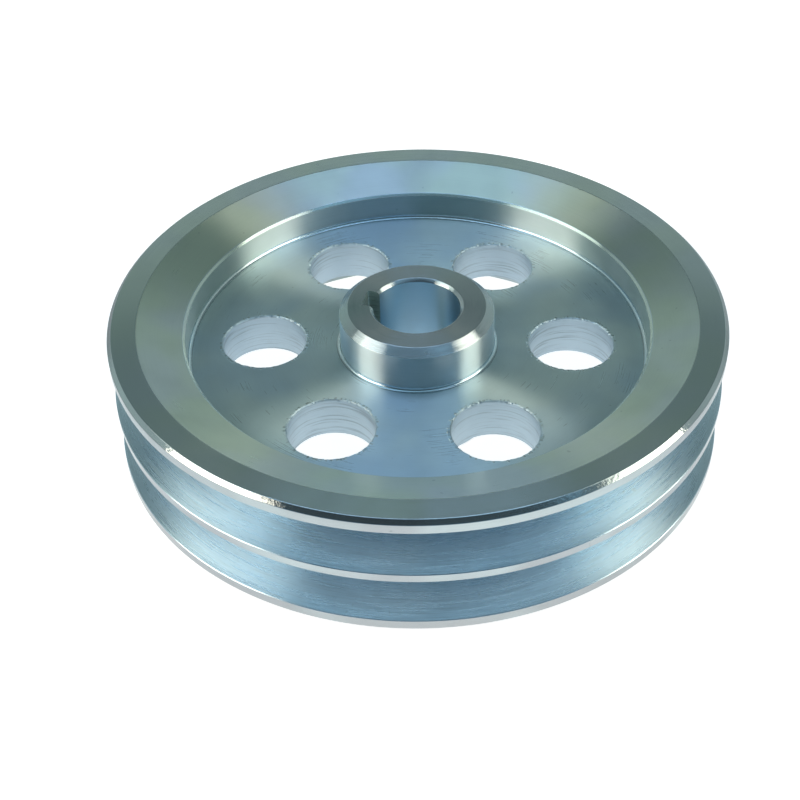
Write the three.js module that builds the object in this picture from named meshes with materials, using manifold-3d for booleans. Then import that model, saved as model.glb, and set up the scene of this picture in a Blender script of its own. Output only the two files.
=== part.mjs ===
// Two-groove V-belt pulley in zinc-plated steel: a grooved rim and a keyed hub, joined by a drilled web disc.
// Millimetres, +Z along the bore axis. The origin is on that axis at mid-width, and the keyway is on the -X side.
import * as THREE from "three";
import { mergeVertices } from "three/addons/utils/BufferGeometryUtils.js";
import Module from "manifold-3d";

const wasm = await Module();
wasm.setup();

// Grooves, to ISO 4183 section SPB
const DATUM_DIAMETER = 190;
const DATUM_WIDTH = 14;
const HEIGHT_ABOVE_DATUM = 3.5;
const DEPTH_BELOW_DATUM = 14;
const GROOVE_ANGLE = THREE.MathUtils.degToRad(34);
const GROOVE_PITCH = 19;
const GROOVE_COUNT = 2;

// Rim
const WIDTH = 44;
const EDGE_CHAMFER = 1.3;
const FACE_RING_BORE = 178.6; // where each flat face ring ends and the inner cone begins
const CONE_SLOPE = THREE.MathUtils.degToRad(20);
const RIM_BORE = 148.8;
const LIP_CHAMFER = 0.8;

// Web disc and its lightening holes
const WEB_THICKNESS = 14;
const HOLE_COUNT = 6;
const HOLE_DIAMETER = 27.2;
const HOLE_CIRCLE = 100;
const FIRST_HOLE = THREE.MathUtils.degToRad(12.4);

// Hub, its bore and its keyway for an 8 x 7 parallel key
const HUB_DIAMETER = 50;
const HUB_CHAMFER_RADIAL = 2.8;
const HUB_CHAMFER_AXIAL = 2.3;
const BORE = 28;
const BORE_CHAMFER = 1;
const KEYWAY_WIDTH = 8;
const KEYWAY_DEPTH = 3.3;

// Fillet welds, turned back to a smooth hollow
const WELD_LEG = 1.2;

// M6 x 6 set screw with a flat point and a 3 mm hexagon socket, over the keyway
const SCREW_THREAD = 6;
const SCREW_LENGTH = 6;
const SCREW_HEIGHT = 13.5; // above mid-width, clear of the web
const SCREW_SUNK = 0.2; // how far its socket end lies under the hub's outer surface
const SCREW_POINT_DIAMETER = 4;
const SCREW_END_CHAMFER = 0.5;
const SOCKET_ACROSS_FLATS = 3;
const SOCKET_DEPTH = 3;

// Clearances between neighbours, and mesh fineness
const JOINT_GAP = 0.05;
const THREAD_GAP = 0.1;
const TURNED_SEGMENTS = 72;
const HOLE_SEGMENTS = 24;

const halfWidth = WIDTH / 2;
const halfWeb = WEB_THICKNESS / 2;
const hubRadius = HUB_DIAMETER / 2;
const rimBoreRadius = RIM_BORE / 2;
const outerRadius = DATUM_DIAMETER / 2 + HEIGHT_ABOVE_DATUM;
const keywayFloor = BORE / 2 + KEYWAY_DEPTH;

const zincPlate = new THREE.MeshStandardMaterial({ color: 0x9fb1b6, roughness: 0.28, metalness: 1 });
const drilledZincPlate = new THREE.MeshStandardMaterial({ color: 0xa5b4cd, roughness: 0.5, metalness: 1 });
const blackOxide = new THREE.MeshStandardMaterial({ color: 0x26282a, roughness: 0.5, metalness: 1 });

const pulley = new THREE.Group();

// A solid turned about +Z from [radius, height] corners listed anticlockwise.
function turned(corners, segments = TURNED_SEGMENTS) {
  const profile = [...corners, corners[0]].map(([radius, height]) => new THREE.Vector2(radius, height));
  return new THREE.LatheGeometry(profile, segments).rotateX(Math.PI / 2);
}

// A solid cylinder along +Z, centred on its middle.
function rod(radius, length, segments = HOLE_SEGMENTS) {
  return new THREE.CylinderGeometry(radius, radius, length, segments).rotateX(Math.PI / 2);
}

// A geometry as a manifold-3d solid.
function solid(geometry) {
  const bare = geometry.clone().deleteAttribute("normal").deleteAttribute("uv");
  const merged = mergeVertices(bare, 1e-4);
  const vertProperties = merged.attributes.position.array;
  const triVerts = new Uint32Array(merged.index.array);
  return new wasm.Manifold(new wasm.Mesh({ numProp: 3, vertProperties, triVerts }));
}

// The first geometry with all the others cut out of it.
function cut(geometry, ...tools) {
  const remaining = tools.reduce((body, tool) => body.subtract(solid(tool)), solid(geometry));
  const { vertProperties, triVerts } = remaining.getMesh();
  const result = new THREE.BufferGeometry();
  result.setAttribute("position", new THREE.BufferAttribute(vertProperties, 3));
  result.setIndex(new THREE.BufferAttribute(triVerts, 1));
  result.computeVertexNormals();
  return result;
}

function add(name, geometry, material) {
  const mesh = new THREE.Mesh(geometry, material);
  mesh.name = name;
  pulley.add(mesh);
  return mesh;
}

// Corners mirrored to the other side of mid-width, in the order that carries a profile on round.
function mirrored(corners) {
  return corners.map(([radius, height]) => [radius, -height]).reverse();
}

function addRim() {
  const faceRingInner = FACE_RING_BORE / 2;
  const lipRadius = rimBoreRadius + LIP_CHAMFER;
  const lipHeight = halfWidth - (faceRingInner - lipRadius) * Math.tan(CONE_SLOPE);
  const frontCorners = [
    [outerRadius, halfWidth - EDGE_CHAMFER],
    [outerRadius - EDGE_CHAMFER, halfWidth],
    [faceRingInner, halfWidth],
    [lipRadius, lipHeight],
    [rimBoreRadius, lipHeight - LIP_CHAMFER],
  ];

  const grooveDepth = HEIGHT_ABOVE_DATUM + DEPTH_BELOW_DATUM;
  const flank = Math.tan(GROOVE_ANGLE / 2);
  const mouth = DATUM_WIDTH / 2 + HEIGHT_ABOVE_DATUM * flank;
  const floor = mouth - grooveDepth * flank;
  const grooveCorners = [];
  for (let i = 0; i < GROOVE_COUNT; i += 1) {
    const middle = (i - (GROOVE_COUNT - 1) / 2) * GROOVE_PITCH;
    grooveCorners.push(
      [outerRadius, middle - mouth],
      [outerRadius - grooveDepth, middle - floor],
      [outerRadius - grooveDepth, middle + floor],
      [outerRadius, middle + mouth],
    );
  }
  add("rim", turned([...mirrored(frontCorners), ...grooveCorners, ...frontCorners]), zincPlate);
}

function addWebDisc() {
  const inner = hubRadius + JOINT_GAP;
  const outer = rimBoreRadius - JOINT_GAP;
  const disc = turned([
    [inner, -halfWeb],
    [outer, -halfWeb],
    [outer, halfWeb],
    [inner, halfWeb],
  ]);
  const holes = [];
  for (let i = 0; i < HOLE_COUNT; i += 1) {
    const angle = FIRST_HOLE + (i * 2 * Math.PI) / HOLE_COUNT;
    const hole = rod(HOLE_DIAMETER / 2, 2 * WEB_THICKNESS);
    holes.push(hole.translate(HOLE_CIRCLE / 2, 0, 0).rotateZ(angle));
  }
  add("web_disc", cut(disc, ...holes), drilledZincPlate);
}

function addHub() {
  const frontCorners = [
    [hubRadius, halfWidth - HUB_CHAMFER_AXIAL],
    [hubRadius - HUB_CHAMFER_RADIAL, halfWidth],
    [BORE / 2 + BORE_CHAMFER, halfWidth],
    [BORE / 2, halfWidth - BORE_CHAMFER],
  ];
  const blank = turned([...mirrored(frontCorners), ...frontCorners]);
  const keyway = new THREE.BoxGeometry(keywayFloor, KEYWAY_WIDTH, 2 * WIDTH).translate(-keywayFloor / 2, 0, 0);
  const tappedHole = rod(SCREW_THREAD / 2, BORE).rotateY(-Math.PI / 2).translate(-hubRadius, 0, SCREW_HEIGHT);
  add("hub", cut(blank, keyway, tappedHole), zincPlate);
}

// One weld ring in the corner between the web and a wall. side is +1 where the wall is inside the ring and -1 where
// it is outside, and face is +1 on the front of the web and -1 on the rear.
function addWeld(name, wallRadius, side, face) {
  const root = [wallRadius + side * JOINT_GAP, halfWeb + JOINT_GAP];
  const throat = WELD_LEG * (1 - Math.SQRT1_2);
  const corners = [
    root,
    [root[0] + side * WELD_LEG, root[1]],
    [root[0] + side * throat, root[1] + throat],
    [root[0], root[1] + WELD_LEG],
  ];
  const placed = corners.map(([radius, height]) => [radius, face * height]);
  add(name, turned(side * face > 0 ? placed : placed.reverse()), zincPlate);
}

// The set screw is made along +Z from its point, then laid along -X so that its socket opens outwards.
function addSetScrew() {
  const radius = SCREW_THREAD / 2 - THREAD_GAP;
  const pointRadius = SCREW_POINT_DIAMETER / 2;
  const body = turned(
    [
      [0, 0],
      [pointRadius, 0],
      [radius, radius - pointRadius],
      [radius, SCREW_LENGTH - SCREW_END_CHAMFER],
      [radius - SCREW_END_CHAMFER, SCREW_LENGTH],
      [0, SCREW_LENGTH],
    ],
    HOLE_SEGMENTS,
  );
  const socket = rod(SOCKET_ACROSS_FLATS / Math.sqrt(3), 2 * SOCKET_DEPTH, 6).translate(0, 0, SCREW_LENGTH);
  const screw = add("set_screw", cut(body, socket), blackOxide);
  screw.rotation.y = -Math.PI / 2;
  screw.position.set(SCREW_SUNK + SCREW_LENGTH - hubRadius, 0, SCREW_HEIGHT);
}

addRim();
addWebDisc();
addHub();
addWeld("front_rim_weld", rimBoreRadius, -1, 1);
addWeld("rear_rim_weld", rimBoreRadius, -1, -1);
addWeld("front_hub_weld", hubRadius, 1, 1);
addWeld("rear_hub_weld", hubRadius, 1, -1);
addSetScrew();

export default pulley;
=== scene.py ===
"""A two-groove V-belt pulley of zinc-plated steel, lying on a pale studio floor.

The operators in the sidebar each add one piece or one group of like pieces. Lengths are in metres, the bore
axis is +Z, and the origin is on that axis at mid-width, as in the frame that the pieces are fitted round.
"""

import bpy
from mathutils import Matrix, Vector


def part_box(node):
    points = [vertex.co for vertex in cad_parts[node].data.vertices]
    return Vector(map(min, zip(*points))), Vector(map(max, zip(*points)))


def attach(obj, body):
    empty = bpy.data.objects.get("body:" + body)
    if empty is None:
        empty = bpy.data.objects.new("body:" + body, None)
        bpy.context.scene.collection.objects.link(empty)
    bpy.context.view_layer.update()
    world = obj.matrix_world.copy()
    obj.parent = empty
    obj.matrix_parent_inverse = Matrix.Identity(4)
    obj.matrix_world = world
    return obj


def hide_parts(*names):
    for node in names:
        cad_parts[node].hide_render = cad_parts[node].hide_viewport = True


bl_info = {
    "name": "V Belt Pulley",
    "version": (1, 0, 0),
    "blender": (4, 5, 0),
    "location": "3D View > Sidebar > Pulley",
    "description": "Adds a turned and zinc-plated V-belt pulley and its studio",
    "category": "Add Mesh",
}

import math

import bmesh
import bpy
from bpy.props import FloatProperty, FloatVectorProperty, IntProperty, PointerProperty
from bpy.types import Operator, Panel, PropertyGroup
from mathutils import Euler, Vector

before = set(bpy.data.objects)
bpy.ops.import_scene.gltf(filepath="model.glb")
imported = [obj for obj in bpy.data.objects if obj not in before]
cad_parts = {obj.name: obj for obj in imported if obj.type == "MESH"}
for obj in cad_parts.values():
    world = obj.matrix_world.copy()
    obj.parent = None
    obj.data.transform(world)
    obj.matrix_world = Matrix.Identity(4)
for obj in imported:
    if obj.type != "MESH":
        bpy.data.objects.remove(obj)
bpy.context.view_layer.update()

MM = 0.001
MICRON = 0.000001
PULLEY = "pulley"
SCREW = "set_screw"

# How pieces are modelled
TOUCH = 0.004 * MM
MERGE = 0.0005 * MM
ROUND_STEPS = 4
TURNED_STEPS = 360
HUB_STEPS = 240
SMOOTH_ANGLE = math.radians(28)
BURR_ANGLE = math.radians(8)
BURR_SEED = 4
FACING = 0.9  # least part of a normal along an axis in a face that faces that way
FAR_END = 0.4  # how far towards its end a primitive's end edges surely lie

# Sizes and strengths of the grain in the plating and of the painted shade on the torn ticks. TICK_HEIGHT is
# in thousandths of a millimetre.
CLOUD_SIZE = 34 * MM
HAZE_SIZE = 11 * MM
SPOT_SIZE = 2.4 * MM
DENT_SIZE = 1.1 * MM
BROAD_MARK = 2.2 * MM
TICK_SIZE = 0.75 * MM
TICK_FADE = 0.3 * MM
TICK_STRETCH = 0.2
TICK_HEIGHT = 220
TICK_SHADE = 0.6
HAZE_STAIN = 0.09
SPOT_STAIN = 0.35
HAZE_GLOSS = 0.08
SPOT_GLOSS = 0.12
MARK_GLOSS = 1.3
TAIL_ROUGHNESS = 0.46
TEAR_SIZE = 0.8 * MM
RING_SQUEEZE = 0.03
RING_DEPTH = 0.13 * MM

# Where the room's brightness changes, as sines of the elevation behind the pulley and ahead of it, and how
# squarely a way faces the camera's side as one turns into the other
BEHIND_EDGE = (0.535, 0.578)
AHEAD_EDGE = (0.25, 0.45)
SIDE_EDGE = (0.1, 0.6)
PANEL_ASIDE = 0.202

# Sizes that the frame gives
OUTER_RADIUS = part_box("rim")[1].x
HALF_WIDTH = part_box("rim")[1].z
WEB_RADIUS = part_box("web_disc")[1].x
HALF_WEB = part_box("web_disc")[1].z
HUB_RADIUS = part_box("hub")[1].x
WELD_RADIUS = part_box("front_rim_weld")[1].x
WELD_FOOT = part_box("front_rim_weld")[0].z
WELD_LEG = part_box("front_rim_weld")[1].z - WELD_FOOT
HUB_WELD_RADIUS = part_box("front_hub_weld")[1].x - WELD_LEG
SCREW_LOW, SCREW_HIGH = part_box("set_screw")


def length(name, description, millimetres):
    value = millimetres * MM
    return FloatProperty(name=name, description=description, default=value, unit="LENGTH", precision=5)


def angle(name, description, degrees):
    return FloatProperty(name=name, description=description, default=math.radians(degrees), subtype="ANGLE")


def share(name, description, value):
    return FloatProperty(name=name, description=description, default=value, min=0, max=1, subtype="FACTOR")


def count(name, description, value, least=1):
    return IntProperty(name=name, description=description, default=value, min=least)


def colour(name, description, *linear):
    return FloatVectorProperty(name=name, description=description, default=linear, size=3, subtype="COLOR")


class RimSizes(PropertyGroup):
    groove_count: count("Grooves", "How many belts the pulley takes", 2)
    groove_pitch: length("Groove pitch", "Distance between the middles of two grooves", 19)
    groove_depth: length("Groove depth", "From the outer diameter to the groove's floor", 17.5)
    groove_mouth: length("Groove mouth", "Width of a groove at the outer diameter", 16.14)
    groove_angle: angle("Groove angle", "Angle between a groove's two flanks", 34)
    edge_chamfer: length("Edge chamfer", "Chamfer on the rim's outer edges", 1.3)
    ring_radius: length("Face ring radius", "Where the flat ring on the face ends and the cone begins", 89.3)
    cone_slope: angle("Cone slope", "How steeply the face falls towards the recess", 20)
    bore_radius: length("Recess radius", "Inner radius of the rim", 74.4)
    lip_chamfer: length("Lip chamfer", "Chamfer between the cone and the recess wall", 0.8)
    edge_break: length("Edge break", "Rounding of the sharp edges", 0.15)
    mouth_break: length("Mouth edge break", "Small chamfer where a flank meets a land", 0.19)
    floor_round: length("Floor rounding", "Rounding in the corners of a groove's floor", 0.6)


class WebSizes(PropertyGroup):
    hole_count: count("Holes", "Number of lightening holes", 6)
    hole_radius: length("Hole radius", "Radius of a lightening hole", 13.6)
    hole_circle: length("Hole circle radius", "Radius of the circle the holes stand on", 50)
    first_hole: angle("First hole", "Angle of the first hole from the +X axis", 12.4)
    burr: length("Burr", "Width of the rough edge round a hole", 0.35)
    burr_scatter: length("Burr scatter", "How uneven that edge is", 0.25)
    tick: length("Tick", "How far the torn ticks reach out from a hole", 1.6)
    burr_facets: count("Burr facets", "How many facets go round that edge", 160, least=12)
    step_radius: length("Step radius", "Where the facing cut steps, just inside the holes", 36.2)
    step: length("Step", "Depth of that step", 0.04)


class HubSizes(PropertyGroup):
    chamfer_radial: length("Chamfer, radial", "How far the outer chamfer reaches inwards", 2.8)
    chamfer_axial: length("Chamfer, axial", "How far the outer chamfer reaches down", 2.3)
    bore_radius: length("Bore radius", "Radius of the shaft bore", 14)
    bore_chamfer: length("Bore chamfer", "Chamfer at each end of the bore", 1)
    keyway_width: length("Keyway width", "Width of the keyway", 8)
    keyway_depth: length("Keyway depth", "Depth of the keyway beyond the bore", 3.3)
    keyway_round: length("Keyway rounding", "Rounding in the keyway's inner corners", 0.5)
    tapped_radius: length("Tapped hole radius", "Radius of the set screw's hole", 3)
    countersink: length("Countersink", "Chamfer at the mouth of that hole", 0.45)
    edge_break: length("Edge break", "Rounding of the sharp edges", 0.15)


class ScrewSizes(PropertyGroup):
    pitch: length("Pitch", "Pitch of the thread", 1)
    thread_depth: length("Thread depth", "Depth of the thread", 0.55)
    point_radius: length("Point radius", "Radius of the flat point", 2)
    end_chamfer: length("End chamfer", "Chamfer at the socket end", 0.5)
    socket: length("Socket", "Across the flats of the hexagon socket", 3)
    socket_depth: length("Socket depth", "Depth of the hexagon socket", 3)


class Finishes(PropertyGroup):
    zinc: colour("Zinc", "Plated steel where the film is thin and grey", 0.60, 0.67, 0.69)
    zinc_green: colour("Zinc, green cast", "Plated steel where the film looks greenish", 0.61, 0.69, 0.64)
    zinc_blue: colour("Zinc, blue cast", "Plated steel where the film looks bluish", 0.55, 0.69, 0.79)
    groove: colour("Groove flank", "Plated steel of the brushed flanks", 0.61, 0.74, 0.83)
    land: colour("Land", "Plated steel of the outer lands", 0.51, 0.535, 0.56)
    cone: colour("Cone", "Plated steel of the rim's inner cones", 0.61, 0.70, 0.60)
    hub: colour("Hub end", "Plated steel of the hub's ends", 0.44, 0.53, 0.53)
    web: colour("Web", "Plated steel of the web disc", 0.70, 0.82, 0.83)
    hole: colour("Drilled wall", "Plating on the rough walls of the holes", 0.48, 0.585, 0.65)
    bore: colour("Bored wall", "Plating on the wall of the shaft bore", 0.37, 0.54, 0.645)
    keyway: colour("Broached wall", "Plating in the keyway", 0.42, 0.52, 0.49)
    # Also the colour that the torn ticks round the holes are painted towards, as painted shade
    stain_and_shade: colour("Stain", "Small dull spots in the plating", 0.30, 0.36, 0.36)
    oxide: colour("Black oxide", "The set screw", 0.065, 0.067, 0.070)
    oxide_roughness: share("Black oxide roughness", "Roughness of the set screw", 0.38)
    face_roughness: share("Face roughness", "Roughness of the turned faces of the rim", 0.165)
    cone_roughness: share("Cone roughness", "Roughness of the rim's inner cones", 0.30)
    land_roughness: share("Land roughness", "Roughness of the rim's outer lands", 0.12)
    wall_roughness: share("Wall roughness", "Roughness of the recess wall and the hub's wall", 0.40)
    web_roughness: share("Web roughness", "Roughness of the web disc", 0.29)
    hub_roughness: share("Hub end roughness", "Roughness of the hub's ends", 0.19)
    groove_roughness: share("Groove roughness", "Roughness of the brushed groove flanks", 0.30)
    bore_roughness: share("Bore roughness", "Roughness of the shaft bore", 0.35)
    hole_roughness: share("Hole roughness", "Roughness of the drilled walls", 0.50)


class StudioSettings(PropertyGroup):
    lens: FloatProperty(name="Lens", description="Focal length", default=65.86, unit="CAMERA")
    distance: length("Camera distance", "From the camera to the point it looks at", 466.1)
    azimuth: angle("Camera azimuth", "How far the camera stands round to the right of -Y", 15.45)
    elevation: angle("Camera elevation", "How steeply the camera looks down", 39.98)
    roll: angle("Camera roll", "Tilt of the picture", -1.45)
    aim_near: length("Aim, near", "How far in front of the axis the camera looks", 20.9)
    aim_left: length("Aim, left", "How far left of the axis the camera looks", 6.1)
    light_distance: length("Light distance", "From the pulley to the softboxes", 1200)
    left: colour("Left light", "The lower left softbox", 3.66, 3.20, 2.62)
    right: colour("Right light", "The lower right softbox", 4.16, 3.88, 3.15)
    upper_left: colour("Upper left light", "The upper left softbox", 1.30, 1.42, 1.28)
    upper_right: colour("Upper right light", "The upper right softbox", 2.10, 2.15, 1.85)
    top: colour("Top light", "The two bluish panels overhead", 1.12, 1.56, 2.18)
    strip: colour("Strip light", "The dim strip above the camera", 0.22, 0.42, 0.58)
    room_low: colour("Room, low", "The room behind the pulley, near the floor", 0.39, 0.49, 0.48)
    room_high: colour("Room, high", "The room behind the pulley, higher up", 0.132, 0.185, 0.187)
    front_low: colour("Front, low", "The room on the camera's side, near the floor", 0.12, 0.30, 0.46)
    front_high: colour("Front, high", "The dark room above the camera", 0.05, 0.07, 0.08)
    backdrop: colour("Backdrop", "What the camera sees past the floor", 0.95, 0.95, 0.95)
    floor: colour("Floor", "The pale floor", 0.58, 0.58, 0.58)
    floor_glow: colour("Floor glow", "Light that comes up through the floor", 0.63, 0.63, 0.62)
    under_glow: colour("Glow below", "The same light under the pulley", 0.85, 0.85, 0.85)
    seen_glow: colour("Glow seen", "The same light as the camera sees it, everywhere", 0.80, 0.80, 0.80)
    table_radius: length("Light table radius", "How far from its middle the floor lights the pulley", 115)
    table_near: length("Light table offset", "How far in front of the axis that middle is", 30)


# --------------------------------------------------------------------------------------------------
# Modelling


def begin(kind, **settings):
    """Adds a primitive with nothing else selected, and opens it for editing."""
    bpy.ops.object.select_all(action="DESELECT")
    getattr(bpy.ops.mesh, f"primitive_{kind}_add")(enter_editmode=True, **settings)
    bpy.ops.mesh.select_mode(type="VERT")
    return bpy.context.object


def select(kind, chosen):
    """Selects the vertices, edges or faces of the mesh being edited for which chosen(element) is true."""
    bpy.ops.mesh.select_mode(type=kind)
    bpy.ops.mesh.select_all(action="DESELECT")
    data = bpy.context.object.data
    mesh = bmesh.from_edit_mesh(data)
    elements = {"VERT": mesh.verts, "EDGE": mesh.edges, "FACE": mesh.faces}[kind]
    for element in elements:
        element.select_set(bool(chosen(element)))
    mesh.select_flush_mode()
    bmesh.update_edit_mesh(data)


def draw_outline(corners):
    """Draws a closed outline in the XZ plane through corners given as (radius, height, rounding)."""
    outline = begin("plane", size=MM)
    bpy.ops.mesh.merge(type="CENTER")
    points = [Vector((radius, 0, height)) for radius, height, _ in corners]
    bpy.ops.transform.translate(value=points[0])
    for start, end in zip(points, points[1:]):
        bpy.ops.mesh.extrude_region_move(TRANSFORM_OT_translate={"value": end - start})
    bpy.ops.mesh.select_all(action="SELECT")
    bpy.ops.mesh.edge_face_add()
    for point, (_, _, rounding) in zip(points, corners):
        if rounding:
            select("VERT", lambda vertex: (vertex.co - point).length < TOUCH)
            bpy.ops.mesh.bevel(offset=rounding, segments=ROUND_STEPS, affect="VERTICES")
    bpy.ops.mesh.select_all(action="SELECT")
    bpy.ops.mesh.delete(type="ONLY_FACE")
    return outline


def close_up():
    """Merges doubles, turns every face outwards and leaves edit mode."""
    bpy.ops.mesh.select_all(action="SELECT")
    bpy.ops.mesh.remove_doubles(threshold=MERGE)
    bpy.ops.mesh.normals_make_consistent(inside=False)
    bpy.ops.object.mode_set(mode="OBJECT")


def turn(corners, steps):
    """A solid turned about the bore axis from an outline that keeps clear of that axis."""
    piece = draw_outline(corners)
    bpy.ops.mesh.select_all(action="SELECT")
    bpy.ops.mesh.spin(steps=steps, angle=math.tau, center=(0, 0, 0), axis=(0, 0, 1))
    close_up()
    return piece


def mirrored(corners):
    """The same corners on the other side of mid-width, in the order that carries an outline on round."""
    return [(radius, -height, rounding) for radius, height, rounding in reversed(corners)]


def activate(piece):
    """Makes the piece the only one selected, and the active one."""
    bpy.ops.object.select_all(action="DESELECT")
    piece.select_set(True)
    bpy.context.view_layer.objects.active = piece


def apply_modifier(piece, kind, **settings):
    """Adds a modifier with these settings and applies it at once."""
    activate(piece)
    bpy.ops.object.modifier_add(type=kind)
    modifier = piece.modifiers[-1]
    for key, value in settings.items():
        setattr(modifier, key, value)
    bpy.ops.object.modifier_apply(modifier=modifier.name)


def carve(piece, cutter, operation="DIFFERENCE"):
    """Cuts cutter out of piece, or keeps only what they share, and takes the cutter away."""
    settings = {"operation": operation, "object": cutter, "solver": "EXACT", "material_mode": "TRANSFER"}
    apply_modifier(piece, "BOOLEAN", **settings)
    bpy.data.objects.remove(cutter)


def smooth(piece, limit=SMOOTH_ANGLE):
    """Smooth shading that breaks at the edges and stays true on the broad flat faces."""
    activate(piece)
    bpy.ops.object.shade_smooth_by_angle(angle=limit)
    apply_modifier(piece, "WEIGHTED_NORMAL", mode="FACE_AREA", weight=100, keep_sharp=True)


def hand_over(piece, name, body, node):
    """Names a finished piece and puts it in the place of its CAD node."""
    piece.name = name
    piece.data.name = name
    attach(piece, body)
    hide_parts(node)


# --------------------------------------------------------------------------------------------------
# Materials


class Value:
    """A number that varies over a surface. Arithmetic with it adds Math nodes to the finish it belongs to."""

    def __init__(self, finish, socket):
        self.finish = finish
        self.socket = socket

    def math(self, operation, *numbers):
        inputs = dict(enumerate(numbers))
        return self.finish.node("ShaderNodeMath", {"operation": operation}, inputs)

    def __add__(self, other):
        return self.math("ADD", self, other)

    def __radd__(self, other):
        return self.math("ADD", other, self)

    def __sub__(self, other):
        return self.math("SUBTRACT", self, other)

    def __rsub__(self, other):
        return self.math("SUBTRACT", other, self)

    def __mul__(self, other):
        return self.math("MULTIPLY", self, other)

    def __rmul__(self, other):
        return self.math("MULTIPLY", other, self)

    def __truediv__(self, other):
        return self.math("DIVIDE", self, other)

    def __rtruediv__(self, other):
        return self.math("DIVIDE", other, self)

    def __pow__(self, other):
        return self.math("POWER", self, other)

    def __abs__(self):
        return self.math("ABSOLUTE", self)

    def rise(self, low, high):
        """0 below low, 1 above high, and a smooth step between them."""
        settings = {"interpolation_type": "SMOOTHSTEP"}
        inputs = {"Value": self, "From Min": low, "From Max": high}
        return self.finish.node("ShaderNodeMapRange", settings, inputs)


class Nodes:
    """A node tree, and the one method that adds nodes to it."""

    def __init__(self, tree):
        self.tree = tree

    def node(self, kind, settings=None, inputs=None, output=0):
        """Adds a node, sets its settings, then its sockets' values or links, and returns one output."""
        node = self.tree.nodes.new(kind)
        for key, value in (settings or {}).items():
            setattr(node, key, value)
        for key, value in (inputs or {}).items():
            if isinstance(value, Value):
                self.tree.links.new(value.socket, node.inputs[key])
            else:
                node.inputs[key].default_value = value
        return Value(self, node.outputs[output]) if node.outputs else None

    def position(self):
        """The object coordinates x, y and z, in metres."""
        place = {"Vector": self.node("ShaderNodeTexCoord", output="Object")}
        return [self.node("ShaderNodeSeparateXYZ", inputs=place, output=axis) for axis in range(3)]

    def vector(self, x, y, z):
        return self.node("ShaderNodeCombineXYZ", inputs={"X": x, "Y": y, "Z": z})

    def noise(self, place, size, detail=2.0, roughness=0.5, depth=0.0):
        """Noise whose grains are about size across. place is a vector and depth a fourth coordinate."""
        inputs = {"Vector": place, "W": depth, "Scale": 1 / size, "Detail": detail, "Roughness": roughness}
        return self.node("ShaderNodeTexNoise", {"noise_dimensions": "4D"}, inputs)

    def blend(self, factor, first, second):
        """Blends two colours, each a Value or (r, g, b)."""
        inputs = {0: factor, 6: opaque(first), 7: opaque(second)}
        return self.node("ShaderNodeMix", {"data_type": "RGBA"}, inputs, output=2)

    def bump(self, height, distance):
        """Raises the surface by height times distance, which is in metres."""
        inputs = {"Height": height, "Distance": distance, "Strength": 1.0}
        return self.node("ShaderNodeBump", inputs=inputs)


class Finish(Nodes):
    """A material's nodes."""

    def __init__(self, name):
        self.material = bpy.data.materials.new(name)
        self.material.use_nodes = True
        super().__init__(self.material.node_tree)
        self.tree.nodes.clear()

    def metal(self, **inputs):
        """A metal shader with these sockets set or linked."""
        return self.node("ShaderNodeBsdfPrincipled", inputs={"Metallic": 1.0, **inputs})

    def end(self, shader):
        """Makes the shader the material's surface, and returns the material."""
        self.node("ShaderNodeOutputMaterial", inputs={"Surface": shader})
        return self.material


def opaque(tone):
    """A colour as a socket takes it. A colour that varies is passed on."""
    return tone if isinstance(tone, Value) else (*tone, 1.0)


def turned_marks(finish, width, run):
    """Lathe marks: noise of the given width across the surface, drawn out round the axis for about run."""
    x, y, z = finish.position()
    radius = (x * x + y * y) ** 0.5
    stretch = width * OUTER_RADIUS / run
    place = finish.vector(x / radius * stretch, y / radius * stretch, radius)
    return finish.noise(place, width, detail=3.0, roughness=0.6, depth=z)


def torn_edges(finish, holes):
    """Short ticks straight out from each hole: 1 on a tick, and 0 between ticks and away from the holes."""
    x, y, _ = finish.position()
    spacing = math.tau / holes.hole_count
    turned = y.math("ARCTAN2", y, x) - (holes.first_hole - spacing / 2)
    turned = turned.math("FLOORED_MODULO", turned, spacing) - spacing / 2
    radius = (x * x + y * y) ** 0.5
    across = radius * turned.math("COSINE", turned) - holes.hole_circle
    along = radius * turned.math("SINE", turned)
    reach = (across * across + along * along) ** 0.5
    unit = holes.hole_radius / reach
    place = finish.vector(across * unit, along * unit, reach * TICK_STRETCH)
    ticks = finish.noise(place, TICK_SIZE, detail=1.0)
    away = (reach - ticks * holes.tick).rise(holes.hole_radius, holes.hole_radius + TICK_FADE)
    return ticks.rise(0.50, 0.62) * (1 - away)


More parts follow.
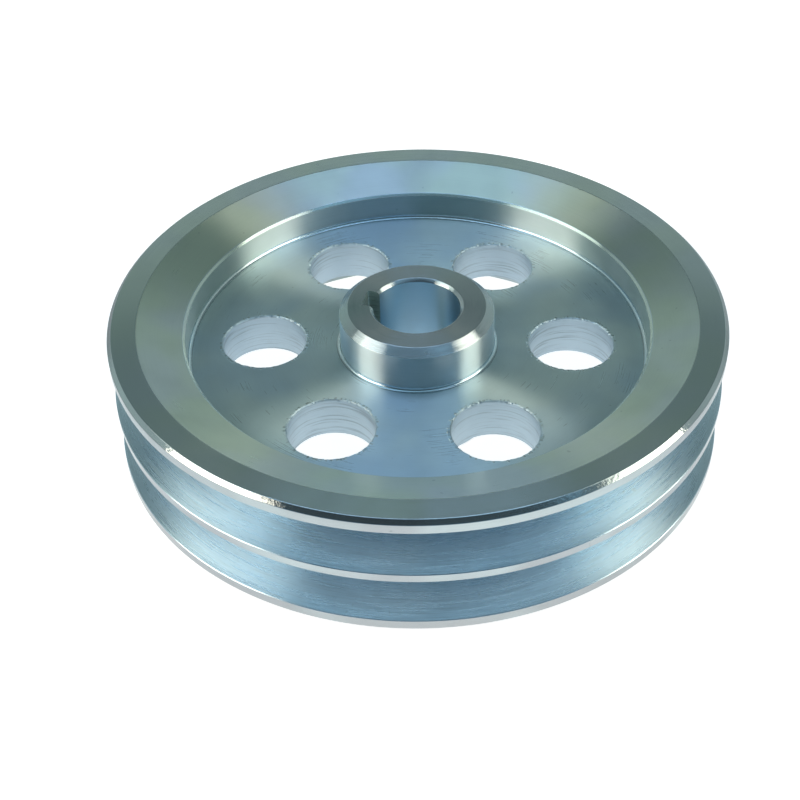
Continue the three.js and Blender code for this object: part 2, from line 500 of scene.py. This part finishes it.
def plated(
    name,
    tones,
    stain_and_shade,
    roughness,
    marks,
    anisotropy=1.0,
    width=0.35,
    run=40,
    grain=0.06,
    dents=1,
    tail=0,
    holes=None,
):
    """Zinc plate over turned steel, between two tones.

    marks and dents are depths in thousandths of a millimetre, width and run are a mark's size in millimetres,
    grain is how strongly the marks show, tail is the share of light that they scatter widely, and holes gives
    the sizes of any holes with torn edges.
    """
    finish = Finish(name)
    place = finish.vector(*finish.position())
    cloud = finish.noise(place, CLOUD_SIZE, detail=2.0)
    fine = turned_marks(finish, width * MM, run * MM)
    broad = turned_marks(finish, BROAD_MARK, 3 * run * MM)
    haze = finish.noise(place, HAZE_SIZE, detail=3.0)
    spots = finish.noise(place, SPOT_SIZE, detail=1.0).rise(0.74, 0.80)
    dented = finish.noise(place, DENT_SIZE, detail=2.0)
    film = finish.blend(cloud.rise(0.36, 0.66), *tones)
    soiled = fine.rise(0.45, 0.75) * grain + haze.rise(0.4, 0.7) * HAZE_STAIN + spots * SPOT_STAIN
    film = finish.blend(soiled, film, stain_and_shade)
    relief = fine * marks + broad * (0.8 * marks) + dented * dents
    if holes:
        ticks = torn_edges(finish, holes)
        # Painted shade: the torn ticks are painted darker, standing in for the dark glints of the torn burrs
        film = finish.blend(ticks * TICK_SHADE, film, stain_and_shade)
        relief = relief + ticks * TICK_HEIGHT
    sockets = {
        "Base Color": film,
        "Anisotropic": anisotropy,
        "Anisotropic Rotation": 0.25,
        "Normal": finish.bump(relief, MICRON),
    }
    gloss = (fine - 0.5) * (MARK_GLOSS * grain) + (haze - 0.5) * HAZE_GLOSS + spots * SPOT_GLOSS
    shader = finish.metal(Roughness=roughness + gloss, **sockets)
    if tail:
        scattered = finish.metal(Roughness=TAIL_ROUGHNESS, **sockets)
        shader = finish.node("ShaderNodeMixShader", inputs={0: tail, 1: shader, 2: scattered})
    return finish.end(shader)


def drilled(name, tone, light, roughness):
    """Zinc plate over the dull, rough wall that a drill or a broach left, with rings along it."""
    finish = Finish(name)
    x, y, z = finish.position()
    place = finish.vector(x, y, z)
    waver = finish.noise(place, 9 * MM, detail=1.0) * (0.6 * MM)
    ring = finish.vector(x * RING_SQUEEZE, y * RING_SQUEEZE, z + waver)
    rings = finish.noise(ring, TEAR_SIZE, detail=3.0, roughness=0.65)
    torn = finish.noise(place, TEAR_SIZE, detail=3.0, roughness=0.7)
    shaded = [0.72 * part for part in tone]
    film = finish.blend(rings.rise(0.52, 0.64), tone, shaded)
    film = finish.blend(torn.rise(0.5, 0.8) * 0.4, film, light)
    sockets = {"Base Color": film, "Normal": finish.bump(rings + torn * 0.35, RING_DEPTH)}
    return finish.end(finish.metal(Roughness=roughness + (torn - 0.5) * 0.2, **sockets))


def black_oxide(name, colours):
    """Black oxide over cut steel, with painted sheen: lighter in its grain."""
    finish = Finish(name)
    place = finish.vector(*finish.position())
    grain = finish.noise(place, 0.4 * MM, detail=4.0)
    painted_sheen = [2.5 * part for part in colours.oxide]
    film = finish.blend(grain.rise(0.45, 0.8) * 0.5, colours.oxide, painted_sheen)
    sockets = {"Base Color": film, "Normal": finish.bump(grain, 10 * MICRON)}
    return finish.end(finish.metal(Roughness=colours.oxide_roughness + (grain - 0.5) * 0.2, **sockets))


def wear_finish(piece, *materials):
    """Gives a piece its materials, in the order of their indices."""
    for material in materials:
        piece.data.materials.append(material)


def assign(piece, index, chosen):
    """Gives the faces for which chosen(face) is true the material at that index."""
    activate(piece)
    bpy.ops.object.mode_set(mode="EDIT")
    select("FACE", chosen)
    piece.active_material_index = index
    bpy.ops.object.material_slot_assign()
    bpy.ops.object.mode_set(mode="OBJECT")


# --------------------------------------------------------------------------------------------------
# Pieces


class PULLEY_OT_add_rim(Operator):
    """Turn the grooved rim"""

    bl_idname = "pulley.add_rim"
    bl_label = "Grooved Rim"

    def execute(self, context):
        sizes = context.scene.pulley_rim
        colours = context.scene.pulley_finishes
        edge = sizes.edge_break
        lip_radius = sizes.bore_radius + sizes.lip_chamfer
        lip_height = HALF_WIDTH - (sizes.ring_radius - lip_radius) * math.tan(sizes.cone_slope)
        front = [
            (OUTER_RADIUS, HALF_WIDTH - sizes.edge_chamfer, edge),
            (OUTER_RADIUS - sizes.edge_chamfer, HALF_WIDTH, edge),
            (sizes.ring_radius, HALF_WIDTH, 2 * edge),
            (lip_radius, lip_height, edge),
            (sizes.bore_radius, lip_height - sizes.lip_chamfer, edge),
        ]
        mouth = sizes.groove_mouth / 2
        flank = math.tan(sizes.groove_angle / 2)
        floor = mouth - sizes.groove_depth * flank
        grooves = []
        for i in range(sizes.groove_count):
            middle = (i - (sizes.groove_count - 1) / 2) * sizes.groove_pitch
            grooves += [
                (OUTER_RADIUS, middle - mouth - sizes.mouth_break, 0),
                (OUTER_RADIUS - sizes.mouth_break, middle - mouth + sizes.mouth_break * flank, 0),
                (OUTER_RADIUS - sizes.groove_depth, middle - floor, sizes.floor_round),
                (OUTER_RADIUS - sizes.groove_depth, middle + floor, sizes.floor_round),
                (OUTER_RADIUS - sizes.mouth_break, middle + mouth - sizes.mouth_break * flank, 0),
                (OUTER_RADIUS, middle + mouth + sizes.mouth_break, 0),
            ]
        rim = turn(mirrored(front) + grooves + front, TURNED_STEPS)
        stain_and_shade = colours.stain_and_shade
        lands = (colours.land, colours.zinc)
        wear_finish(
            rim,
            plated("rim_faces", (colours.zinc_green, colours.zinc), stain_and_shade, colours.face_roughness, marks=4),
            plated(
                "rim_grooves",
                (colours.groove, colours.zinc_blue),
                stain_and_shade,
                colours.groove_roughness,
                marks=45,
                anisotropy=0.9,
                width=0.45,
                run=16,
                grain=0.3,
            ),
            plated("rim_lands", lands, stain_and_shade, colours.land_roughness, marks=3, dents=40),
            plated("recess_walls", (colours.hub, colours.zinc), stain_and_shade, colours.wall_roughness, marks=12),
            plated("rim_cones", (colours.cone, colours.zinc), stain_and_shade, colours.cone_roughness, marks=6),
        )
        land = OUTER_RADIUS - 0.25 * sizes.mouth_break
        reach = (sizes.groove_count - 1) / 2 * sizes.groove_pitch + mouth + sizes.mouth_break

        def in_groove(face):
            middle = face.calc_center_median()
            return sizes.bore_radius + sizes.lip_chamfer < middle.xy.length < land and abs(middle.z) < reach

        def on_land(face):
            middle = face.calc_center_median()
            return middle.xy.length > OUTER_RADIUS - sizes.edge_chamfer - edge and not in_groove(face)

        def on_cone(face):
            middle = face.calc_center_median()
            return lip_radius + edge < middle.xy.length < sizes.ring_radius and abs(middle.z) > reach

        assign(rim, 1, in_groove)
        assign(rim, 2, on_land)
        assign(rim, 3, lambda face: face.calc_center_median().xy.length < sizes.bore_radius + edge)
        assign(rim, 4, on_cone)
        smooth(rim)
        hand_over(rim, "grooved_rim", PULLEY, "rim")
        return {"FINISHED"}


class PULLEY_OT_add_web(Operator):
    """Turn the web disc and drill its lightening holes"""

    bl_idname = "pulley.add_web"
    bl_label = "Web Disc"

    def execute(self, context):
        sizes = context.scene.pulley_web
        colours = context.scene.pulley_finishes
        inner = HUB_WELD_RADIUS
        face = [
            (WEB_RADIUS, HALF_WEB, 0),
            (sizes.step_radius + sizes.step, HALF_WEB, 0),
            (sizes.step_radius, HALF_WEB - sizes.step, 0),
            (inner, HALF_WEB - sizes.step, 0),
        ]
        web = turn(mirrored(face) + face, TURNED_STEPS)
        tones = (colours.web, colours.zinc_blue)
        roughness = colours.web_roughness
        faced = plated("web_faces", tones, colours.stain_and_shade, roughness, marks=7, tail=0.62, holes=sizes)
        wear_finish(web, faced)
        carve(web, self.drills(sizes, colours))
        smooth(web, BURR_ANGLE)
        hand_over(web, "web_disc_drilled", PULLEY, "web_disc")
        return {"FINISHED"}

    def drills(self, sizes, colours):
        """The holes as one mesh of rods, flared at both ends, and unevenly in front, where the edge tore."""
        past = 1.5 * sizes.burr_scatter
        straight = HALF_WEB - 2 * sizes.burr
        flare = (sizes.hole_radius + sizes.burr + past) / sizes.hole_radius
        place = (sizes.hole_circle, 0, 0)
        rods = begin(
            "cylinder",
            vertices=sizes.burr_facets,
            radius=sizes.hole_radius,
            depth=2 * straight,
            location=place,
        )
        wear_finish(rods, drilled("drilled_walls", colours.hole, colours.zinc, colours.hole_roughness))
        bpy.ops.object.mode_set(mode="OBJECT")
        bpy.ops.object.transform_apply(location=True, rotation=False, scale=False)
        bpy.ops.object.mode_set(mode="EDIT")
        for side in (1, -1):
            select("FACE", lambda face: face.normal.z * side > FACING)
            for rise, wider in ((sizes.burr, 1), (sizes.burr + past, flare), (4 * past, 1)):
                bpy.ops.mesh.extrude_region_move(TRANSFORM_OT_translate={"value": (0, 0, side * rise)})
                bpy.ops.transform.resize(value=(wider, wider, 1), center_override=place)
        bpy.ops.mesh.select_all(action="SELECT")
        bpy.ops.transform.rotate(value=-sizes.first_hole, orient_axis="Z", center_override=(0, 0, 0))
        spacing = math.tau / sizes.hole_count
        bpy.ops.mesh.spin(
            steps=sizes.hole_count - 1,
            dupli=True,
            angle=spacing * (sizes.hole_count - 1),
            center=(0, 0, 0),
            axis=(0, 0, 1),
        )
        torn = (HALF_WEB - 1.5 * sizes.burr, HALF_WEB + 2 * past)
        select("VERT", lambda vertex: torn[0] < vertex.co.z < torn[1])
        bpy.ops.transform.vertex_random(offset=sizes.burr_scatter, uniform=0.0, normal=0.0, seed=BURR_SEED)
        close_up()
        return rods


class PULLEY_OT_add_hub(Operator):
    """Turn and bore the hub, and cut its keyway and its tapped hole"""

    bl_idname = "pulley.add_hub"
    bl_label = "Keyed Hub"

    def execute(self, context):
        sizes = context.scene.pulley_hub
        colours = context.scene.pulley_finishes
        edge = sizes.edge_break
        front = [
            (HUB_RADIUS, HALF_WIDTH - sizes.chamfer_axial, edge),
            (HUB_RADIUS - sizes.chamfer_radial, HALF_WIDTH, edge),
            (sizes.bore_radius + sizes.bore_chamfer, HALF_WIDTH, edge),
            (sizes.bore_radius, HALF_WIDTH - sizes.bore_chamfer, edge),
        ]
        hub = turn(mirrored(front) + front, HUB_STEPS)
        stain_and_shade = colours.stain_and_shade
        ends = (colours.hub, colours.land)
        bored = (colours.bore, [1.15 * part for part in colours.bore])
        wear_finish(
            hub,
            plated("hub_ends", ends, stain_and_shade, colours.hub_roughness, marks=8, grain=0.25),
            plated("hub_bore", bored, stain_and_shade, colours.bore_roughness, marks=6, anisotropy=0.8),
            plated("hub_walls", (colours.zinc_blue, colours.zinc), stain_and_shade, colours.wall_roughness, marks=12),
            drilled("broached_walls", colours.keyway, colours.zinc, colours.hole_roughness),
        )
        assign(hub, 1, lambda face: face.calc_center_median().xy.length < sizes.bore_radius + TOUCH)
        assign(hub, 2, lambda face: face.calc_center_median().xy.length > HUB_RADIUS - edge)
        carve(hub, self.keyway_cutter(sizes, hub))
        carve(hub, self.tapping_cutter(sizes, hub))
        smooth(hub)
        hand_over(hub, "keyed_hub", PULLEY, "hub")
        return {"FINISHED"}

    def keyway_cutter(self, sizes, hub):
        """A bar as wide as the key, from the axis to the keyway's floor, with the floor's corners rounded."""
        floor = sizes.bore_radius + sizes.keyway_depth
        cutter = begin("cube", size=1, location=(-floor / 2, 0, 0))
        bpy.ops.transform.resize(value=(floor, sizes.keyway_width, 4 * HALF_WIDTH))
        inwards = -FAR_END * floor
        select("EDGE", lambda edge: is_upright(edge) and all(vertex.co.x < inwards for vertex in edge.verts))
        bpy.ops.mesh.bevel(offset=sizes.keyway_round, segments=ROUND_STEPS, affect="EDGES")
        close_up()
        activate(cutter)
        bpy.ops.object.transform_apply(location=True, rotation=False, scale=False)
        wear_finish(cutter, hub.data.materials["broached_walls"])
        return cutter

    def tapping_cutter(self, sizes, hub):
        """A rod for the set screw's hole, laid along the X axis, with a countersink at its mouth."""
        middle = (SCREW_LOW.z + SCREW_HIGH.z) / 2
        depth = HUB_RADIUS - sizes.bore_radius
        mouth = Vector((-HUB_RADIUS, 0, middle))
        cutter = begin("cylinder", vertices=64, radius=sizes.tapped_radius, depth=2 * depth)
        select("FACE", lambda face: face.normal.z > FACING)
        flare = sizes.countersink
        grown = 1 + flare / sizes.tapped_radius
        bpy.ops.transform.translate(value=(0, 0, -depth - flare))
        for _ in range(2):
            bpy.ops.mesh.extrude_region_move(TRANSFORM_OT_translate={"value": (0, 0, flare)})
            bpy.ops.transform.resize(value=(grown, grown, 1))
        close_up()
        cutter.matrix_world = Euler((0, -math.pi / 2, 0)).to_matrix().to_4x4()
        cutter.location = mouth
        activate(cutter)
        bpy.ops.object.transform_apply(location=True, rotation=True, scale=False)
        wear_finish(cutter, hub.data.materials["hub_bore"])
        return cutter


def is_upright(edge):
    """Whether an edge runs along the bore axis."""
    first, second = (vertex.co for vertex in edge.verts)
    return (first - second).xy.length < TOUCH


class PULLEY_OT_add_welds(Operator):
    """Lay the four smooth weld rings in the corners of the web"""

    bl_idname = "pulley.add_welds"
    bl_label = "Weld Rings"

    def execute(self, context):
        colours = context.scene.pulley_finishes
        tones = (colours.zinc, colours.zinc_blue)
        bead = plated("weld_rings", tones, colours.stain_and_shade, colours.face_roughness, marks=2, anisotropy=0.3)
        for node in ("front_rim_weld", "rear_rim_weld", "front_hub_weld", "rear_hub_weld"):
            outwards = 1 if "hub" in node else -1
            wall = HUB_WELD_RADIUS if "hub" in node else WELD_RADIUS
            face = 1 if "front" in node else -1
            ring = turn(self.section(wall, outwards, face), TURNED_STEPS)
            wear_finish(ring, bead)
            smooth(ring)
            hand_over(ring, f"{node}_ring", PULLEY, node)
        return {"FINISHED"}

    def section(self, wall, outwards, face):
        """The hollow triangle of a weld: a corner, and a quarter circle from one leg to the other."""
        arc_steps = 8
        corners = [(wall, face * WELD_FOOT, 0)]
        for i in range(arc_steps + 1):
            turned = math.pi / 2 * i / arc_steps
            radius = wall + outwards * WELD_LEG * (1 - math.sin(turned))
            height = WELD_FOOT + WELD_LEG * (1 - math.cos(turned))
            corners.append((radius, face * height, 0))
        return corners


class PULLEY_OT_add_set_screw(Operator):
    """Cut the thread, the point and the hexagon socket of the set screw"""

    bl_idname = "pulley.add_set_screw"
    bl_label = "Set Screw"

    def execute(self, context):
        sizes = context.scene.pulley_screw
        colours = context.scene.pulley_finishes
        reach = SCREW_HIGH.x - SCREW_LOW.x
        radius = (SCREW_HIGH.z - SCREW_LOW.z) / 2
        screw = self.threaded_rod(sizes, radius, reach)
        wear_finish(screw, black_oxide("black_oxide", colours))
        carve(screw, self.blank(sizes, radius, reach), operation="INTERSECT")
        carve(screw, self.hexagon(sizes, reach))
        screw.matrix_world = Euler((0, -math.pi / 2, 0)).to_matrix().to_4x4()
        screw.location = (SCREW_HIGH.x, 0, (SCREW_LOW.z + SCREW_HIGH.z) / 2)
        activate(screw)
        bpy.ops.object.transform_apply(location=True, rotation=True, scale=False)
        smooth(screw)
        hand_over(screw, "socket_set_screw", SCREW, "set_screw")
        return {"FINISHED"}

    def threaded_rod(self, sizes, radius, reach):
        """A rod with a helical thread along +Z, longer than the screw and cut square at both ends."""
        root = radius - sizes.thread_depth
        crest = sizes.pitch / 8
        slope = (sizes.pitch - 2 * crest) / 2
        top = crest + slope
        corners = [(root, 0), (root, crest), (radius, top), (radius, top + crest), (root, sizes.pitch)]
        rod = begin("plane", size=MM)
        bpy.ops.mesh.merge(type="CENTER")
        points = [Vector((r, 0, z)) for r, z in corners]
        bpy.ops.transform.translate(value=points[0] - Vector((0, 0, 2 * sizes.pitch)))
        for start, end in zip(points, points[1:]):
            bpy.ops.mesh.extrude_region_move(TRANSFORM_OT_translate={"value": end - start})
        bpy.ops.object.mode_set(mode="OBJECT")
        turns = math.ceil(reach / sizes.pitch) + 4
        apply_modifier(
            rod,
            "SCREW",
            steps=48,
            render_steps=48,
            angle=math.tau,
            screw_offset=sizes.pitch,
            iterations=turns,
            use_merge_vertices=True,
        )
        bpy.ops.object.mode_set(mode="EDIT")
        for height, up in ((-0.5 * sizes.pitch, False), (reach + 0.5 * sizes.pitch, True)):
            bpy.ops.mesh.select_all(action="SELECT")
            bpy.ops.mesh.bisect(
                plane_co=(0, 0, height),
                plane_no=(0, 0, 1),
                use_fill=True,
                clear_outer=up,
                clear_inner=not up,
                threshold=MERGE,
            )
        close_up()
        return rod

    def blank(self, sizes, radius, reach):
        """The screw's outer shape: a flat point, a cone, a cylinder and a chamfer."""
        past = 0.01 * MM
        cone = radius - sizes.point_radius
        blank = begin("cylinder", vertices=96, radius=radius + past, depth=reach)
        middle = reach / 2
        bpy.ops.transform.translate(value=(0, 0, middle))
        for side, offset in ((-1, cone), (1, sizes.end_chamfer)):
            select("EDGE", lambda edge: all((v.co.z - middle) * side > FAR_END * reach for v in edge.verts))
            bpy.ops.mesh.bevel(offset=offset, segments=1, affect="EDGES")
        close_up()
        activate(blank)
        bpy.ops.object.transform_apply(location=True, rotation=True, scale=True)
        return blank

    def hexagon(self, sizes, reach):
        """The socket, with the shallow cone that its drill left at the bottom."""
        drill_margin = 0.2 * MM
        drill_point = 0.4 * MM
        across_corners = sizes.socket / math.sqrt(3)
        hexagon = begin("cylinder", vertices=6, radius=across_corners, depth=2 * sizes.socket_depth)
        bpy.ops.transform.translate(value=(0, 0, reach))
        select("FACE", lambda face: face.normal.z < -FACING)
        bpy.ops.mesh.inset(thickness=drill_margin, depth=0)
        bpy.ops.mesh.extrude_region_move(TRANSFORM_OT_translate={"value": (0, 0, -drill_point)})
        bpy.ops.mesh.merge(type="CENTER")
        close_up()
        activate(hexagon)
        bpy.ops.object.transform_apply(location=True, rotation=True, scale=True)
        return hexagon


# --------------------------------------------------------------------------------------------------
# Studio


class PULLEY_OT_add_studio(Operator):
    """Set up the floor, the soft lights and the camera"""

    bl_idname = "pulley.add_studio"
    bl_label = "Studio"

    def execute(self, context):
        studio = context.scene.pulley_studio
        self.add_floor(studio)
        self.add_lights(studio)
        self.add_surround(context.scene, studio)
        self.add_camera(context.scene, studio)
        context.scene.view_settings.view_transform = "Standard"
        return {"FINISHED"}

    def direction(self, studio, azimuth, elevation):
        """The way to a point seen from the pulley. Azimuth 0 is the camera's right and 90 is behind it."""
        turned = math.radians(azimuth) + studio.azimuth
        raised = math.radians(elevation)
        level = math.cos(raised)
        return Vector((math.cos(turned) * level, math.sin(turned) * level, math.sin(raised)))

    def add_floor(self, studio):
        """A pale floor. What the metal mirrors of it is a glowing disc, and the camera sees one even tone."""
        floor = begin("grid", x_subdivisions=8, y_subdivisions=8, size=8, location=(0, 0, -HALF_WIDTH))
        bpy.ops.object.mode_set(mode="OBJECT")
        floor.name = "floor"
        finish = Finish("pale_floor")
        x, y, _ = finish.position()
        ahead = (math.sin(studio.azimuth) * studio.table_near, -math.cos(studio.azimuth) * studio.table_near)
        reach = ((x - ahead[0]) ** 2 + (y - ahead[1]) ** 2) ** 0.5
        under = 1 - ((x * x + y * y) ** 0.5).rise(WEB_RADIUS, OUTER_RADIUS)
        glow = finish.blend(under, studio.floor_glow, studio.under_glow)
        glow = finish.blend(reach.rise(studio.table_radius, 1.3 * studio.table_radius), glow, (0.0, 0.0, 0.0))
        seen = finish.node("ShaderNodeLightPath", output="Is Camera Ray")
        glow = finish.blend(seen, glow, studio.seen_glow)
        inputs = {
            "Base Color": opaque(studio.floor),
            "Roughness": 1.0,
            "Specular IOR Level": 0.0,
            "Emission Color": glow,
            "Emission Strength": 1.0,
        }
        wear_finish(floor, finish.end(finish.node("ShaderNodeBsdfPrincipled", inputs=inputs)))

    def softbox(self, studio, name, azimuth, elevation, width, height, aside=0):
        """A rectangular light facing the pulley, moved aside in its own plane. Its colour is its radiance."""
        tone = getattr(studio, name)
        data = bpy.data.lights.new(name, "AREA")
        data.shape = "RECTANGLE"
        data.size = width
        data.size_y = height
        data.color = [part / max(tone) for part in tone]
        data.energy = max(tone) * math.pi * width * height
        lamp = bpy.data.objects.new(name, data)
        bpy.context.scene.collection.objects.link(lamp)
        way = self.direction(studio, azimuth, elevation)
        facing = way.to_track_quat("Z", "Y")
        lamp.location = way * studio.light_distance + facing @ Vector((aside, 0, 0))
        lamp.rotation_euler = facing.to_euler()
        lamp.visible_camera = False

    def add_lights(self, studio):
        self.softbox(studio, "left", azimuth=201, elevation=17, width=0.76, height=0.82)
        self.softbox(studio, "right", azimuth=-14, elevation=13, width=0.65, height=0.64)
        self.softbox(studio, "upper_left", azimuth=184, elevation=43.5, width=0.84, height=0.52)
        self.softbox(studio, "upper_right", azimuth=-5, elevation=41, width=0.58, height=0.56)
        for aside in (PANEL_ASIDE, -PANEL_ASIDE):
            self.softbox(studio, "top", azimuth=90, elevation=77.5, width=0.385, height=0.45, aside=aside)
        self.softbox(studio, "strip", azimuth=-105, elevation=73.5, width=2.8, height=0.43)

    def add_surround(self, scene, studio):
        """A dim room for reflections, darkest above the camera. The camera itself sees a plain backdrop."""
        world = bpy.data.worlds.new("studio")
        scene.world = world
        world.use_nodes = True
        world.node_tree.nodes.clear()
        room = Nodes(world.node_tree)
        way = room.node("ShaderNodeTexCoord", output="Generated")
        height = room.node("ShaderNodeSeparateXYZ", inputs={"Vector": way}, output=2)
        towards = self.direction(studio, -90, 0)
        product = {"operation": "DOT_PRODUCT"}
        facing = room.node("ShaderNodeVectorMath", product, {0: way, 1: towards}, output=1)
        behind = room.blend(height.rise(*BEHIND_EDGE), studio.room_low, studio.room_high)
        ahead = room.blend(height.rise(*AHEAD_EDGE), studio.front_low, studio.front_high)
        tone = room.blend(facing.rise(*SIDE_EDGE), behind, ahead)
        seen = room.node("ShaderNodeLightPath", output="Is Camera Ray")
        shown = room.blend(seen, tone, studio.backdrop)
        background = room.node("ShaderNodeBackground", inputs={"Color": shown})
        room.node("ShaderNodeOutputWorld", inputs={"Surface": background})

    def add_camera(self, scene, studio):
        """A camera above the floor, aimed a little in front of the bore axis."""
        data = bpy.data.cameras.new("camera")
        data.lens = studio.lens
        camera = bpy.data.objects.new("camera", data)
        scene.collection.objects.link(camera)
        towards = Vector((math.sin(studio.azimuth), -math.cos(studio.azimuth), 0))
        right = Vector((math.cos(studio.azimuth), math.sin(studio.azimuth), 0))
        aim = towards * studio.aim_near - right * studio.aim_left
        back = towards * math.cos(studio.elevation) + Vector((0, 0, math.sin(studio.elevation)))
        camera.location = aim + back * studio.distance
        upright = (-back).to_track_quat("-Z", "Y").to_matrix()
        camera.rotation_euler = (upright @ Euler((0, 0, studio.roll)).to_matrix()).to_euler()
        scene.camera = camera


class PULLEY_PT_sidebar(Panel):
    """Lists the pulley's pieces and their sizes"""

    bl_label = "V Belt Pulley"
    bl_idname = "PULLEY_PT_sidebar"
    bl_space_type = "VIEW_3D"
    bl_region_type = "UI"
    bl_category = "Pulley"

    def draw(self, context):
        for operator in PIECES:
            self.layout.operator(operator.bl_idname)
        for name, group in SETTINGS.items():
            box = self.layout.box()
            box.label(text=name.replace("_", " ").capitalize())
            for key in group.__annotations__:
                box.prop(getattr(context.scene, name), key)


SETTINGS = {
    "pulley_rim": RimSizes,
    "pulley_web": WebSizes,
    "pulley_hub": HubSizes,
    "pulley_screw": ScrewSizes,
    "pulley_finishes": Finishes,
    "pulley_studio": StudioSettings,
}
PIECES = (
    PULLEY_OT_add_studio,
    PULLEY_OT_add_rim,
    PULLEY_OT_add_web,
    PULLEY_OT_add_hub,
    PULLEY_OT_add_welds,
    PULLEY_OT_add_set_screw,
)


def register():
    for group in SETTINGS.values():
        bpy.utils.register_class(group)
    for name, group in SETTINGS.items():
        setattr(bpy.types.Scene, name, PointerProperty(type=group))
    for operator in PIECES:
        bpy.utils.register_class(operator)
    bpy.utils.register_class(PULLEY_PT_sidebar)


def unregister():
    bpy.utils.unregister_class(PULLEY_PT_sidebar)
    for operator in reversed(PIECES):
        bpy.utils.unregister_class(operator)
    for name, group in SETTINGS.items():
        delattr(bpy.types.Scene, name)
        bpy.utils.unregister_class(group)


def main():
    register()
    bpy.ops.pulley.add_studio()
    bpy.ops.pulley.add_rim()
    bpy.ops.pulley.add_web()
    bpy.ops.pulley.add_hub()
    bpy.ops.pulley.add_welds()
    bpy.ops.pulley.add_set_screw()
    bpy.context.view_layer.update()


if __name__ == "__main__":
    main()
